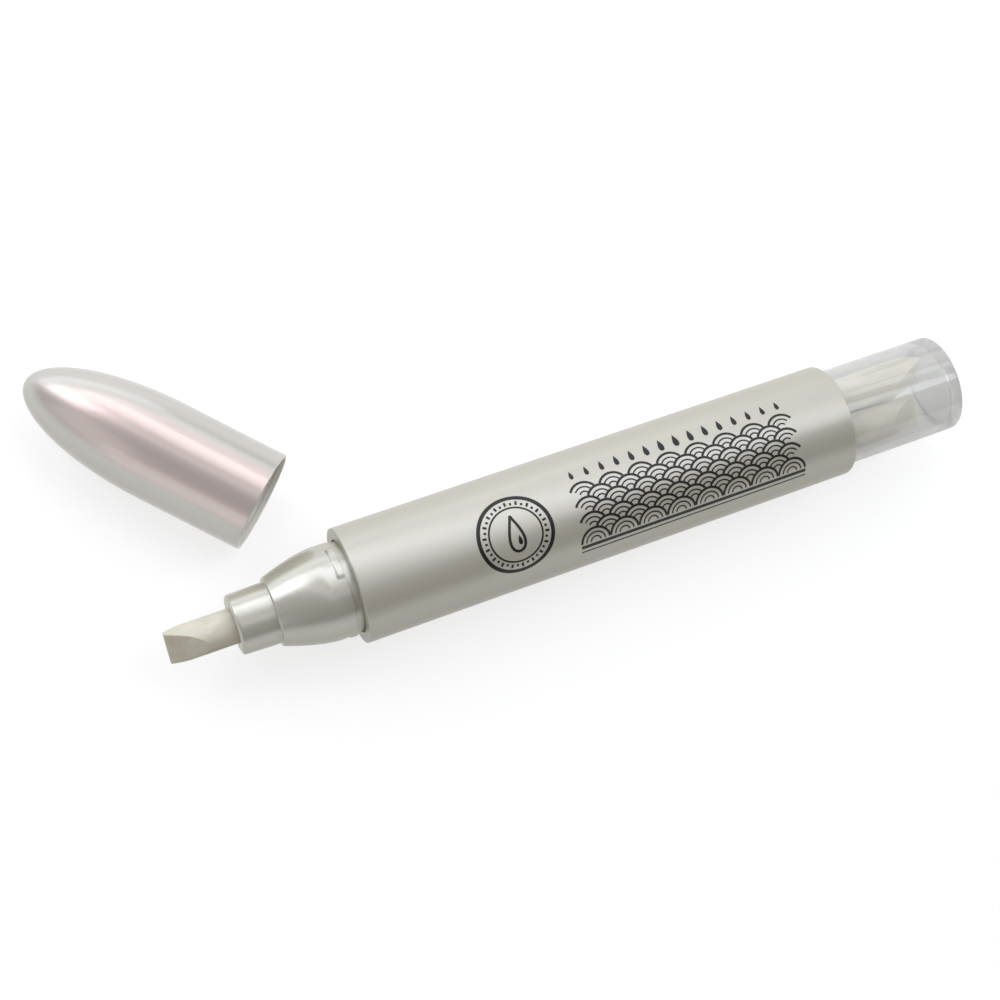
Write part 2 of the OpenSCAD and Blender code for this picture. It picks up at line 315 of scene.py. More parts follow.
def pearl_plastic(name, base, shade, pearl, edge, share, roughness, coat,
                  silk=0.0, inside=None, yaw=0.0):
    """Milky plastic under a silky pearl sheen, whose tint turns from pearl to edge at a slant and is
    dimmed at the outline as painted shade.
    """
    material, tree, output = new_material(name)
    flow = grain(tree, 14.0, stretch=(0.4, 1.0, 1.0), detail=3.0, yaw=yaw)
    body = add(tree, "ShaderNodeMix", {
        "Factor": flow.outputs["Fac"],
        "A": srgb(base),
        "B": srgb(shade),
    }, {"data_type": "RGBA"})
    gloss = add(tree, "ShaderNodeMapRange", {
        "Value": flow.outputs["Fac"],
        "To Min": roughness - 0.03,
        "To Max": roughness + 0.04,
    })
    soft = add(tree, "ShaderNodeMath", {0: gloss.outputs["Result"], 1: silk})
    wave = grain(tree, 2.2, stretch=(0.25, 1.0, 1.0), detail=2.0, yaw=yaw)
    bump = add(tree, "ShaderNodeBump", {
        "Height": wave.outputs["Fac"],
        "Strength": 0.04,
        "Distance": 0.05 * MM,
    })
    milk = add(tree, "ShaderNodeBsdfPrincipled", {
        "Base Color": body.outputs["Result"],
        "Roughness": gloss.outputs["Result"],
        "Coat Weight": coat,
        "Coat Roughness": 0.12,
        "Normal": bump.outputs["Normal"],
    })
    # Real mica flakes are about 0.03 mm and don't show, so they are drawn four times as coarse.
    flakes = grain(tree, FLAKE_MM, detail=1.0)
    slant = add(tree, "ShaderNodeLayerWeight", {"Blend": 0.5, "Normal": bump.outputs["Normal"]})
    # Painted shade: towards the outline the sheen's tint is dimmed, so the edges darken whatever light
    # falls there.
    painted_outline_shade = [SHEEN_OUTLINE_SHADE * part for part in srgb(edge)[:3]]
    tint = add(tree, "ShaderNodeValToRGB", {"Fac": slant.outputs["Facing"]}, stops=[
        (0.08, srgb(pearl)),
        (0.3, srgb(edge)),
        (0.6, (*painted_outline_shade, 1.0)),
    ])
    glint = add(tree, "ShaderNodeMapRange", {
        "Value": flakes.outputs["Fac"],
        "From Min": 0.3,
        "From Max": 0.75,
        "To Min": share * 0.9,
        "To Max": share * 1.25,
    })
    mica = add(tree, "ShaderNodeBsdfAnisotropic", {
        "Color": tint.outputs["Color"],
        "Roughness": soft.outputs["Value"],
        "Normal": bump.outputs["Normal"],
    })
    sheen = add(tree, "ShaderNodeMixShader", {
        0: glint.outputs["Result"],
        1: milk.outputs["BSDF"],
        2: mica.outputs["BSDF"],
    })
    if inside:
        # The lacquer stops at the rim, and the inner faces show the plain moulding.
        mask = add(tree, "ShaderNodeAttribute", settings={"attribute_name": "bare_moulding"})
        bare = add(tree, "ShaderNodeBsdfPrincipled", {
            "Base Color": srgb(inside),
            "Roughness": 0.4,
            "Normal": bump.outputs["Normal"],
        })
        sheen = add(tree, "ShaderNodeMixShader", {
            0: mask.outputs["Fac"],
            1: sheen.outputs["Shader"],
            2: bare.outputs["BSDF"],
        })
    tree.links.new(sheen.outputs["Shader"], output.inputs["Surface"])
    return material


def bonded_felt():
    """Polyester fibres bonded into a firm rod: matt, off-white, with fine fibres along it."""
    material, tree, output = new_material("bonded_polyester_felt")
    # Fibres are about 0.02 mm thick and are drawn at 0.16 mm so that they show.
    fibres = grain(tree, 0.16, stretch=(0.08, 1.0, 1.0), detail=3.0, roughness=0.6)
    blotch = grain(tree, 1.4, stretch=(0.4, 1.0, 1.0), detail=2.0)
    blend = add(tree, "ShaderNodeMath", {
        0: fibres.outputs["Fac"],
        1: blotch.outputs["Fac"],
    }, {"operation": "MULTIPLY"})
    colour = add(tree, "ShaderNodeValToRGB", {"Fac": blend.outputs["Value"]}, stops=[
        (0.12, srgb("#dcd7c6")),
        (0.45, srgb("#f0ece1")),
    ])
    bump = add(tree, "ShaderNodeBump", {
        "Height": fibres.outputs["Fac"],
        "Strength": 0.22,
        "Distance": 0.05 * MM,
    })
    shader = add(tree, "ShaderNodeBsdfPrincipled", {
        "Base Color": colour.outputs["Color"],
        "Roughness": 0.82,
        "Subsurface Weight": 0.6,
        "Subsurface Radius": (1.2 * MM, 0.9 * MM, 0.6 * MM),
        "Subsurface Scale": 1.0,
        "Sheen Weight": 0.15,
        "Normal": bump.outputs["Normal"],
    })
    tree.links.new(shader.outputs["BSDF"], output.inputs["Surface"])
    return material


def clear_styrene():
    """Moulded clear polystyrene: hard shine over a pale grey body, and it lets lamplight through."""
    material, tree, output = new_material("moulded_clear_polystyrene")
    ripple = grain(tree, 6.0, stretch=(0.5, 1.0, 1.0), detail=0.0)
    bump = add(tree, "ShaderNodeBump", {
        "Height": ripple.outputs["Fac"],
        "Strength": 0.05,
        "Distance": 0.05 * MM,
    })
    smear = grain(tree, 5.0, detail=3.0)
    gloss = add(tree, "ShaderNodeMapRange", {
        "Value": smear.outputs["Fac"],
        "To Min": 0.03,
        "To Max": 0.1,
    })
    clear = add(tree, "ShaderNodeBsdfPrincipled", {
        "Base Color": srgb("#eeeeec"),
        "Roughness": gloss.outputs["Result"],
        "IOR": 1.59,
        "Transmission Weight": 1.0,
        "Normal": bump.outputs["Normal"],
    })
    haze = add(tree, "ShaderNodeBsdfDiffuse", {"Color": srgb("#d6d6d4")})
    milky = add(tree, "ShaderNodeMixShader", {
        0: 0.25,
        1: clear.outputs["BSDF"],
        2: haze.outputs["BSDF"],
    })
    path = add(tree, "ShaderNodeLightPath")
    through = add(tree, "ShaderNodeBsdfTransparent", {"Color": srgb("#f4f4f2")})
    mix = add(tree, "ShaderNodeMixShader", {
        0: path.outputs["Is Shadow Ray"],
        1: milky.outputs["Shader"],
        2: through.outputs["BSDF"],
    })
    tree.links.new(mix.outputs["Shader"], output.inputs["Surface"])
    return material


def moulded_plastic(name, colour, shade, roughness, lump_mm):
    """Plain moulded polypropylene or polyethylene: waxy and even, with a faint cloud in it."""
    material, tree, output = new_material(name)
    cloud = grain(tree, lump_mm, detail=3.0)
    tone = add(tree, "ShaderNodeMix", {
        "Factor": cloud.outputs["Fac"],
        "A": srgb(colour),
        "B": srgb(shade),
    }, {"data_type": "RGBA"})
    skin = grain(tree, 0.3, detail=2.0)
    bump = add(tree, "ShaderNodeBump", {
        "Height": skin.outputs["Fac"],
        "Strength": 0.1,
        "Distance": 0.02 * MM,
    })
    shader = add(tree, "ShaderNodeBsdfPrincipled", {
        "Base Color": tone.outputs["Result"],
        "Roughness": roughness,
        "Normal": bump.outputs["Normal"],
    })
    tree.links.new(shader.outputs["BSDF"], output.inputs["Surface"])
    return material


def soaked_wadding():
    """Crimped fibre wadding with oil in it: cream, streaked along its length, a little wet."""
    material, tree, output = new_material("oil_soaked_fibre_wadding")
    strands = grain(tree, 0.25, stretch=(0.05, 1.0, 1.0), detail=4.0, roughness=0.65)
    colour = add(tree, "ShaderNodeValToRGB", {"Fac": strands.outputs["Fac"]}, stops=[
        (0.3, srgb("#cdc39c")),
        (0.7, srgb("#ece6cc")),
    ])
    bump = add(tree, "ShaderNodeBump", {
        "Height": strands.outputs["Fac"],
        "Strength": 0.6,
        "Distance": 0.1 * MM,
    })
    shader = add(tree, "ShaderNodeBsdfPrincipled", {
        "Base Color": colour.outputs["Color"],
        "Roughness": 0.55,
        "Normal": bump.outputs["Normal"],
    })
    tree.links.new(shader.outputs["BSDF"], output.inputs["Surface"])
    return material


def wrap_film():
    """Thin polypropylene wrap: see-through, with fine drawn lines along it."""
    material, tree, output = new_material("drawn_polypropylene_film")
    lines = grain(tree, 0.4, stretch=(0.02, 1.0, 1.0), detail=2.0)
    gloss = add(tree, "ShaderNodeMapRange", {
        "Value": lines.outputs["Fac"],
        "To Min": 0.1,
        "To Max": 0.3,
    })
    shader = add(tree, "ShaderNodeBsdfPrincipled", {
        "Base Color": srgb("#f4f5f5"),
        "Roughness": gloss.outputs["Result"],
        "Alpha": 0.35,
        "IOR": 1.49,
    })
    tree.links.new(shader.outputs["BSDF"], output.inputs["Surface"])
    return material


def screen_ink():
    """Black screen-printed ink: thin, slightly satin, a touch uneven in its cover."""
    material, tree, output = new_material("black_screen_print_ink")
    cover = grain(tree, 0.4, detail=4.0, roughness=0.7)
    colour = add(tree, "ShaderNodeValToRGB", {"Fac": cover.outputs["Fac"]}, stops=[
        (0.3, srgb("#0e0e0e")),
        (0.8, srgb("#1f1e1e")),
    ])
    shader = add(tree, "ShaderNodeBsdfPrincipled", {
        "Base Color": colour.outputs["Color"],
        "Roughness": 0.45,
    })
    tree.links.new(shader.outputs["BSDF"], output.inputs["Surface"])
    return material


def fillet(outline):
    """Rounds the corners of an outline of (x, r, round) points, with a holding point on each side."""
    points = []
    count = len(outline)
    for i, (x, r, size) in enumerate(outline):
        here = Vector((x, r))
        if size == 0:
            points.append(here)
            continue
        before = Vector(outline[i - 1][:2]) - here
        after = Vector(outline[(i + 1) % count][:2]) - here
        half = before.angle(after) / 2
        reach = min(size / math.tan(half), ROUND_SHARE * before.length, ROUND_SHARE * after.length)
        start = here + before.normalized() * reach
        end = here + after.normalized() * reach
        hold = min(reach, HOLD_SHARE * before.length, HOLD_SHARE * after.length)
        points.append(start + before.normalized() * hold)
        for step in range(ROUND_STEPS + 1):
            t = step / ROUND_STEPS
            points.append((1 - t) ** 2 * start + 2 * t * (1 - t) * here + t ** 2 * end)
        points.append(end + after.normalized() * hold)
    return points


def finish_mesh(name, bm, material, sharp=SHARP):
    """Turns a bmesh in millimetres into an object in metres, smooth with sharp edges kept."""
    bmesh.ops.recalc_face_normals(bm, faces=bm.faces)
    bmesh.ops.scale(bm, vec=(MM, MM, MM), verts=bm.verts)
    mesh = bpy.data.meshes.new(name)
    bm.to_mesh(mesh)
    bm.free()
    mesh.polygons.foreach_set("use_smooth", [True] * len(mesh.polygons))
    mesh.set_sharp_from_angle(angle=math.radians(sharp))
    mesh.materials.append(material)
    piece = bpy.data.objects.new(name, mesh)
    bpy.context.collection.objects.link(piece)
    return piece


def turn_on_lathe(bm, outline, relief=None, closed=False):
    """Revolves (x, r) points about the X axis; relief adds to the radius at (x, r, angle)."""
    rings = []
    for point in outline:
        x, r = point[0], point[1]
        if r < AXIS_R:
            rings.append([bm.verts.new((x, 0, 0))])
            continue
        ring = []
        for i in range(TURN_STEPS):
            a = 2 * math.pi * i / TURN_STEPS
            radius = r + (relief(x, r, math.degrees(a)) if relief else 0)
            # The angle runs from straight up towards -Y, as the turns named above do.
            ring.append(bm.verts.new((x, -radius * math.sin(a), radius * math.cos(a))))
        rings.append(ring)
    pairs = list(zip(rings, rings[1:]))
    if closed:
        pairs.append((rings[-1], rings[0]))
    for one, two in pairs:
        for i in range(TURN_STEPS):
            j = (i + 1) % TURN_STEPS
            if len(one) == 1:
                bm.faces.new((one[0], two[j], two[i]))
            elif len(two) == 1:
                bm.faces.new((one[i], one[j], two[0]))
            else:
                bm.faces.new((one[i], one[j], two[j], two[i]))


def turned(degrees):
    """Turn round the X axis, from straight up towards -Y."""
    return Matrix.Rotation(math.radians(degrees), 4, "X")


def block(bm, low, high, turn):
    """Rectangular key between two corners, turned round the X axis by degrees."""
    made = bmesh.ops.create_cube(bm, size=1.0)["verts"]
    size = Vector(high) - Vector(low)
    middle = (Vector(high) + Vector(low)) / 2
    place = turned(turn) @ Matrix.Translation(middle)
    bmesh.ops.transform(bm, matrix=place @ Matrix.Diagonal((*size, 1)), verts=made)


def cone_radius(share):
    """Radius of the nose at a share of the cone's length in front of the seat."""
    return SEAT_R - (SEAT_R - STEP_R) * share ** CONE_POWER


def window(value, low, high, soft):
    """1 inside low to high and 0 outside, with soft edges."""
    rise = min(max((value - low) / soft + 0.5, 0), 1)
    fall = min(max((high - value) / soft + 0.5, 0), 1)
    return min(rise, fall)


def barrel(material):
    """Pearl tube with a lip at its front end and guide ribs in its bore."""
    bm = bmesh.new()
    turn_on_lathe(bm, fillet([
        (0, LIP_R, SMALL_EDGE),
        (0, BARREL_R, BARREL_EDGE),
        (BARREL_LEN, BARREL_R, BARREL_EDGE),
        (BARREL_LEN, BORE_R, BORE_EDGE),
        (LIP_LEN, BORE_R, BORE_EDGE),
        (LIP_LEN, LIP_R, SMALL_EDGE),
    ]), closed=True)
    front = NOSE_HIGH.x + GUIDE_END_GAP
    back = PLUG_LOW.x - GUIDE_END_GAP
    for i in range(GUIDE_COUNT):
        block(bm, (front, -GUIDE_W / 2, BORE_R - GUIDE_H),
              (back, GUIDE_W / 2, BORE_R + GUIDE_ROOT), i * 360 / GUIDE_COUNT)
    piece = finish_mesh("barrel_tube", bm, material)
    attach(piece, "pen")
    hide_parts("barrel")


def snap_relief(x, r, angle):
    """Beads that stand up from the back end of the seat for the cap to snap over."""
    if abs(r - SEAT_R) > FIT_GAP or not -SEAT_LEN < x <= -RECESS_LEN:
        return 0
    each = 360 / BEAD_COUNT
    off = (angle - VIEWER_TURN + BEAD_TURN + each / 2) % each - each / 2
    across = window(off, -BEAD_ARC / 2, BEAD_ARC / 2, BEAD_SOFT_ARC)
    along = window(x, -RECESS_LEN - BEAD_W * BEAD_FRONT_SHARE, -RECESS_LEN + BEAD_BACK,
                   BEAD_W * BEAD_SOFT_SHARE)
    return BEAD_H * across * along


def nose_relief(x, r, angle):
    """Air grooves along the bore that grips the tip, and the snap beads outside."""
    if abs(r - GRIP_R) < FIT_GAP:
        each = 360 / GROOVE_COUNT
        off = (angle + each / 2) % each - each / 2
        half_width = math.degrees(GROOVE_W / 2 / GRIP_R)
        return GROOVE_DEPTH * window(off, -half_width, half_width, GROOVE_SOFT_ARC)
    return snap_relief(x, r, angle)


def nose(material):
    """Pearl moulding: collar, square step, curved cone, cap seat, flange and skirt."""
    front = NOSE_LOW.x
    step_x = -SEAT_LEN - CONE_LEN
    hollow_x = step_x + NOSE_WALL
    flange_back = LIP_LEN + FLANGE_LEN
    skirt_back = NOSE_HIGH.x
    flange_r = BORE_R - FIT_GAP
    cone = []
    inner_cone = []
    for i in range(1, CONE_STEPS):
        share = 1 - i / CONE_STEPS
        x = -SEAT_LEN - CONE_LEN * share
        cone.append((x, cone_radius(share), 0))
        if x > hollow_x + INNER_CONE_START:
            inner_cone.append((x, cone_radius(share) - NOSE_WALL, 0))
    seat_front_len = SEAT_LEN - RECESS_LEN
    seat = [(-SEAT_LEN + seat_front_len * i / SEAT_STEPS, SEAT_R, 0) for i in range(SEAT_STEPS)]
    outline = [
        (front, GRIP_R, SMALL_EDGE),
        (front, COLLAR_TIP_R, COLLAR_ROUND),
        (step_x, COLLAR_R, STEP_INNER_ROUND),
        (step_x, STEP_R, STEP_OUTER_ROUND),
        *cone,
        *seat,
        (-RECESS_LEN, SEAT_R, SEAT_EDGE),
        (-RECESS_LEN, RECESS_R, RECESS_EDGE),
        (RECESS_UNDER, RECESS_R, 0),
        (RECESS_UNDER, SEAT_R, RECESS_UNDER_EDGE),
        (LIP_LEN, SEAT_R, 0),
        (LIP_LEN, flange_r, SMALL_EDGE),
        (flange_back, flange_r, SMALL_EDGE),
        (flange_back, SKIRT_R, SMALL_EDGE),
        (skirt_back, SKIRT_R, SMALL_EDGE),
        (skirt_back, POCKET_R, SMALL_EDGE),
        (LIP_LEN, POCKET_R, SMALL_EDGE),
        (LIP_LEN, SEAT_R - NOSE_WALL, SMALL_EDGE),
        *reversed(inner_cone),
        (hollow_x, GRIP_R, 0),
    ]
    bm = bmesh.new()
    turn_on_lathe(bm, fillet(outline), relief=nose_relief, closed=True)
    piece = finish_mesh("nose_moulding", bm, material, sharp=LONG_CURVE_SHARP)
    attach(piece, "pen")
    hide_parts("nose_section")


def felt_tip(name, node, body, length, place, material):
    """Felt rod with two flats that meet in a chisel edge, its edges worn soft."""
    bm = bmesh.new()
    turn_on_lathe(bm, fillet([
        (0, 0, 0),
        (0, TIP_R, 0),
        (length, TIP_R, TIP_BEVEL),
        (length, 0, 0),
    ]))
    slope = math.atan2(TIP_R - EDGE_T / 2, FLAT_LEN)
    for side in (1, -1):
        normal = Vector((-math.sin(slope), 0, side * math.cos(slope)))
        cut = bmesh.ops.bisect_plane(
            bm, geom=[*bm.verts, *bm.edges, *bm.faces],
            plane_co=(0, 0, side * EDGE_T / 2), plane_no=normal, clear_outer=True,
        )
        rim = [e for e in cut["geom_cut"] if isinstance(e, bmesh.types.BMEdge)]
        bmesh.ops.holes_fill(bm, edges=rim)
    bmesh.ops.dissolve_limit(bm, angle_limit=math.radians(FLAT_WITHIN), verts=bm.verts, edges=bm.edges)
    bmesh.ops.transform(bm, matrix=place, verts=bm.verts)
    piece = finish_mesh(name, bm, material, sharp=FELT_SHARP)
    worn = piece.modifiers.new("worn_edges", "BEVEL")
    worn.width = WORN_W * MM
    worn.segments = WORN_STEPS
    worn.limit_method = "ANGLE"
    worn.angle_limit = math.radians(WORN_FROM)
    worn.harden_normals = True
    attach(piece, body)
    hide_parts(node)


def all_tips(material):
    """The tip in use and the three spares in their sockets."""
    length = TIP_HIGH.x - TIP_LOW.x
    in_use = Matrix.Translation((TIP_LOW.x, 0, 0)) @ turned(VIEWER_TURN + TIP_ROLL)
    felt_tip("felt_tip_in_use", "nib", "tip", length, in_use, material)
    spares = (
        ("spare_felt_tip_upper", "spare_nib_1", "upper_spare_tip", UPPER_SPARE_HIGH.x, UPPER_ROLL),
        ("spare_felt_tip_lower", "spare_nib_2", "lower_spare_tip", LOWER_SPARE_HIGH.x, LOWER_ROLL),
        ("spare_felt_tip_rear", "spare_nib_3", "rear_spare_tip", LOWER_SPARE_HIGH.x, REAR_ROLL),
    )
    mirror = Matrix.Scale(-1, 4, (1, 0, 0))
    each = 360 / len(spares)
    for i, (name, node, body, tip_x, roll) in enumerate(spares):
        round_pen = i * each - each / 2
        socket = turned(VIEWER_TURN + round_pen) @ Matrix.Translation((0, 0, SOCKET_PLACE_R))
        spin = turned(roll - round_pen)
        place = socket @ Matrix.Translation((tip_x, 0, 0)) @ spin @ mirror
        felt_tip(name, node, body, length, place, material)


def tail_cover(material):
    """Clear cup with a flat end that closes over the spare tips."""
    bm = bmesh.new()
    end = COVER_HIGH.x
    wall = end - COVER_END
    turn_on_lathe(bm, fillet([
        (end - GATE_H, 0, 0),
        (end - GATE_H, GATE_R, RIGHT_EDGE),
        (end, GATE_R + GATE_H, RIGHT_EDGE),
        (end, COVER_R, COVER_END_ROUND),
        (COVER_LOW.x, COVER_R, COVER_MOUTH_ROUND),
        (COVER_LOW.x, COVER_IN_R, COVER_MOUTH_INNER_ROUND),
        (wall, COVER_IN_R, COVER_FLOOR_ROUND),
        (wall, 0, 0),
    ]))
    piece = finish_mesh("clear_tail_cover", bm, material)
    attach(piece, "tail_cover")
    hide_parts("tail_cover")


def bullet(r, nose, steps):
    """Points of a quarter ellipse from the straight part of the cap to the end of its nose."""
    points = []
    for i in range(1, steps):
        a = math.pi / 2 * i / steps
        points.append((CAP_STRAIGHT + nose * math.sin(a), r * math.cos(a)))
    return [*points, (CAP_STRAIGHT + nose, 0)]


def on_table(piece):
    """Lays a piece of the cap, made along X from its mouth, on the table."""
    turn = Matrix.Rotation(math.radians(CAP_YAW), 4, "Z")
    piece.data.transform(Matrix.Translation(CAP_MOUTH * MM) @ turn)


def cap_rib(bm, turn):
    """Rib that runs into the hollow nose, turned round the cap by degrees."""
    slab = bmesh.ops.create_grid(bm, x_segments=CAP_RIB_STEPS, y_segments=1, size=0.5)["verts"]
    low_x = LINER_FLANGE_BACK
    high_x = CAP_STRAIGHT + CAP_IN_NOSE_LEN * CAP_RIB_REACH_SHARE
    for vert in slab:
        x = low_x + (high_x - low_x) * (vert.co.x + 0.5)
        ahead = max(x - CAP_STRAIGHT, 0) / CAP_IN_NOSE_LEN
        root = LINER_SEAT_R * math.sqrt(1 - ahead ** 2) + CAP_RIB_ROOT
        vert.co = Vector((x, -CAP_RIB_W / 2, root if vert.co.y > 0 else LINER_R + FIT_GAP))
    faces = list({face for vert in slab for face in vert.link_faces})
    grown = bmesh.ops.extrude_face_region(bm, geom=faces)["geom"]
    moved = [part for part in grown if isinstance(part, bmesh.types.BMVert)]
    bmesh.ops.translate(bm, vec=(0, CAP_RIB_W, 0), verts=moved)
    bmesh.ops.transform(bm, matrix=turned(turn), verts=[*slab, *moved])


def cap_shell(material):
    """Bullet-shaped pearl shell with a snap groove in its mouth and ribs in its nose."""
    bm = bmesh.new()
    outside = bullet(CAP_R, CAP_NOSE_LEN, OUTER_BULLET_STEPS)
    inside = bullet(LINER_SEAT_R, CAP_IN_NOSE_LEN, INNER_BULLET_STEPS)
    turn_on_lathe(bm, [*reversed(outside), *fillet([
        (CAP_STRAIGHT, CAP_R, 0),
        (0, CAP_R, CAP_MOUTH_ROUND),
        (0, CAP_IN_R, CAP_MOUTH_ROUND),
        (CAP_GROOVE_LOW, CAP_IN_R, RIGHT_EDGE),
        (CAP_GROOVE_LOW, CAP_IN_R + CAP_GROOVE_DEPTH, RIGHT_EDGE),
        (CAP_GROOVE_HIGH, CAP_IN_R + CAP_GROOVE_DEPTH, RIGHT_EDGE),
        (CAP_GROOVE_HIGH, CAP_IN_R, RIGHT_EDGE),
        (LINER_SEAT_X, CAP_IN_R, RIGHT_EDGE),
        (LINER_SEAT_X, LINER_SEAT_R, RIGHT_EDGE),
        (CAP_STRAIGHT, LINER_SEAT_R, 0),
    ]), *inside])
    for i in range(CAP_RIB_COUNT):
        cap_rib(bm, i * 360 / CAP_RIB_COUNT)
    piece = finish_mesh("cap_bullet_shell", bm, material, sharp=LONG_CURVE_SHARP)
    bare = piece.data.attributes.new("bare_moulding", "FLOAT", "FACE")
    for face in piece.data.polygons:
        x, y, z = face.center / MM
        ahead = max(x - CAP_STRAIGHT, 0) / CAP_NOSE_LEN
        outside_r = CAP_R * math.sqrt(max(1 - ahead ** 2, 0))
        bare.data[face.index].value = float(math.hypot(y, z) < outside_r - CAP_LACQUER_EDGE)
    on_table(piece)
    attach(piece, "cap")
    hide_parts("cap_shell")


def cap_liner(material):
    """Soft flanged cup in the cap that closes round the collar."""
    bm = bmesh.new()
    turn_on_lathe(bm, fillet([
        (LINER_BACK, 0, 0),
        (LINER_BACK, LINER_R, LINER_BACK_ROUND),
        (LINER_FLANGE_BACK, LINER_R, LINER_EDGE),
        (LINER_FLANGE_BACK, LINER_SEAT_R - FIT_GAP, LINER_EDGE),
        (LINER_X, LINER_SEAT_R - FIT_GAP, LINER_MOUTH_OUTER_ROUND),
        (LINER_X, LINER_IN_R, LINER_MOUTH_ROUND),
        (LINER_FLOOR, LINER_IN_R, LINER_FLOOR_ROUND),
        (LINER_FLOOR, 0, 0),
    ]))
    piece = finish_mesh("cap_soft_liner", bm, material)
    on_table(piece)
    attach(piece, "cap")
    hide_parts("cap_liner")


def print_point(bm, x, u):
    """Vertex of the print at x along the barrel and u round it, counted from the viewer's side."""
    a = math.radians(VIEWER_TURN) - u / PRINT_R
    return bm.verts.new((x, -PRINT_R * math.sin(a), PRINT_R * math.cos(a)))


def print_area(bm, left, right, across=4):
    """Inked area between two rows of (x, u) points."""
    rows = []
    for (x1, u1), (x2, u2) in zip(left, right):
        row = []
        for i in range(across + 1):
            t = i / across
            row.append(print_point(bm, x1 + (x2 - x1) * t, u1 + (u2 - u1) * t))
        rows.append(row)
    for one, two in zip(rows, rows[1:]):
        for i in range(across):
            bm.faces.new((one[i], one[i + 1], two[i + 1], two[i]))


def print_line(bm, points, width):
    """Inked line along (x, u) points."""
    left, right = [], []
    last = len(points) - 1
    for i, point in enumerate(points):
        ahead = Vector(points[min(i + 1, last)]) - Vector(points[max(i - 1, 0)])
        side = Vector((-ahead.y, ahead.x)).normalized() * width / 2
        left.append(tuple(Vector(point) + side))
        right.append(tuple(Vector(point) - side))
    print_area(bm, left, right, across=1)


def print_ring(bm, x, u, radius, width, start=0, end=360, hidden=None):
    """Inked ring or arc round (x, u) in degrees, left out where hidden(x, u) says so."""
    steps = max(LEAST_RING_STEPS, round(abs(end - start) * radius / RING_STEP))
    run = []
    for i in range(steps + 1):
        a = math.radians(start + (end - start) * i / steps)
        point = (x + radius * math.cos(a), u + radius * math.sin(a))
        if hidden and hidden(*point):
            if len(run) > 2:
                print_line(bm, run, width)
            run = []
        else:
            run.append(point)
    if len(run) > 2:
        print_line(bm, run, width)


def print_drop(bm, x, u, height, width=None):
    """Drop with its point towards +u: an outline where a line width is given, or else filled."""
    half = []
    for i in range(DROP_STEPS + 1):
        a = math.pi * i / DROP_STEPS
        reach = height * DROP_W_SHARE * math.sin(a) * math.sin(a / 2) ** DROP_POINT_POWER
        half.append((reach, u + height / 2 * math.cos(a)))
    right = [(x + reach, v) for reach, v in half]
    left = [(x - reach, v) for reach, v in half]
    if width:
        print_line(bm, right, width)
        print_line(bm, left, width)
    else:
        print_area(bm, left[1:-1], right[1:-1])


def print_scallops(bm, low_x, low_u, columns, rows, radius):
    """Rows of wave scallops of three arcs each. Each row hides the feet of the row above it."""
    for row in range(rows):
        u = low_u + radius / 2 * row
        shift = radius if row % 2 else 0
        for column in range(columns - row % 2):
            x = low_x + radius + 2 * radius * column + shift

            def under_lower_row(px, pu):
                covered = row > 0 and any(
                    math.hypot(px - x - side * radius, pu - u + radius / 2) < radius
                    for side in (-1, 1)
                )
                return covered or pu < low_u

            for share, width in ((0.95, ARC_LINE), (0.64, FINE_LINE), (0.34, FINE_LINE)):
                print_ring(bm, x, u, radius * share, width, 0, 180, under_lower_row)


def print_medallion(bm):
    """Two rings with rays between them, round a drop with a smaller one in it."""
    print_ring(bm, MEDAL_X, MEDAL_U, MEDAL_R, BOLD_LINE)
    print_ring(bm, MEDAL_X, MEDAL_U, MEDAL_R * INNER_RING_SHARE, RING_LINE)
    for i in range(MEDAL_RAYS):
        a = 2 * math.pi * i / MEDAL_RAYS
        near = MEDAL_R * RAY_FOOT_SHARE
        far = MEDAL_R * (LONG_RAY_SHARE if i % 2 else SHORT_RAY_SHARE)
        reaches = (near, (near + far) / 2, far)
        ray = [(MEDAL_X + r * math.cos(a), MEDAL_U + r * math.sin(a)) for r in reaches]
        print_line(bm, ray, RAY_LINE)
    print_drop(bm, MEDAL_X, MEDAL_U + MEDAL_DROP_RISE, MEDAL_DROP_H, DROP_LINE)
    print_drop(bm, MEDAL_X + SMALL_DROP_SHIFT, MEDAL_U - SMALL_DROP_FALL, SMALL_DROP_H)


def barrel_print(material):
    """Generic print on the viewer's side: medallion, field of scallops, two rules and a row of drops."""
    bm = bmesh.new()
    print_medallion(bm)
    print_scallops(bm, FIELD_X, FIELD_U, FIELD_COLUMNS, FIELD_ROWS, SCALLOP_R)
    for u, width in ((BOLD_RULE_U, BOLD_LINE), (FINE_RULE_U, RULE_LINE)):
        rule = [(FIELD_X + FIELD_LEN * i / RULE_STEPS, u) for i in range(RULE_STEPS + 1)]
        print_line(bm, rule, width)
    middle = (DROP_COUNT - 1) / 2
    for i in range(DROP_COUNT):
        height = DROP_H - DROP_H_LOSS * abs(i - middle) / middle
        print_drop(bm, DROP_X + DROP_STEP * i, DROP_U, height)
    # The ink is a closed skin whose back lies in the pearl.
    bmesh.ops.remove_doubles(bm, verts=bm.verts, dist=INK_JOIN)
    bmesh.ops.dissolve_degenerate(bm, edges=bm.edges, dist=INK_JOIN)
    grown = bmesh.ops.extrude_face_region(bm, geom=bm.faces[:], use_keep_orig=True)["geom"]
    sunk = [part for part in grown if isinstance(part, bmesh.types.BMVert)]
    deep = 1 - INK_DEPTH / PRINT_R
    bmesh.ops.scale(bm, vec=(1, deep, deep), verts=sunk)
    piece = finish_mesh("barrel_print", bm, material)
    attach(piece, "pen")


def cover_cad(node, material):
    """Gives a CAD solid that is shown as it is its material."""
    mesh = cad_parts[node].data
    mesh.materials.clear()
    mesh.materials.append(material)


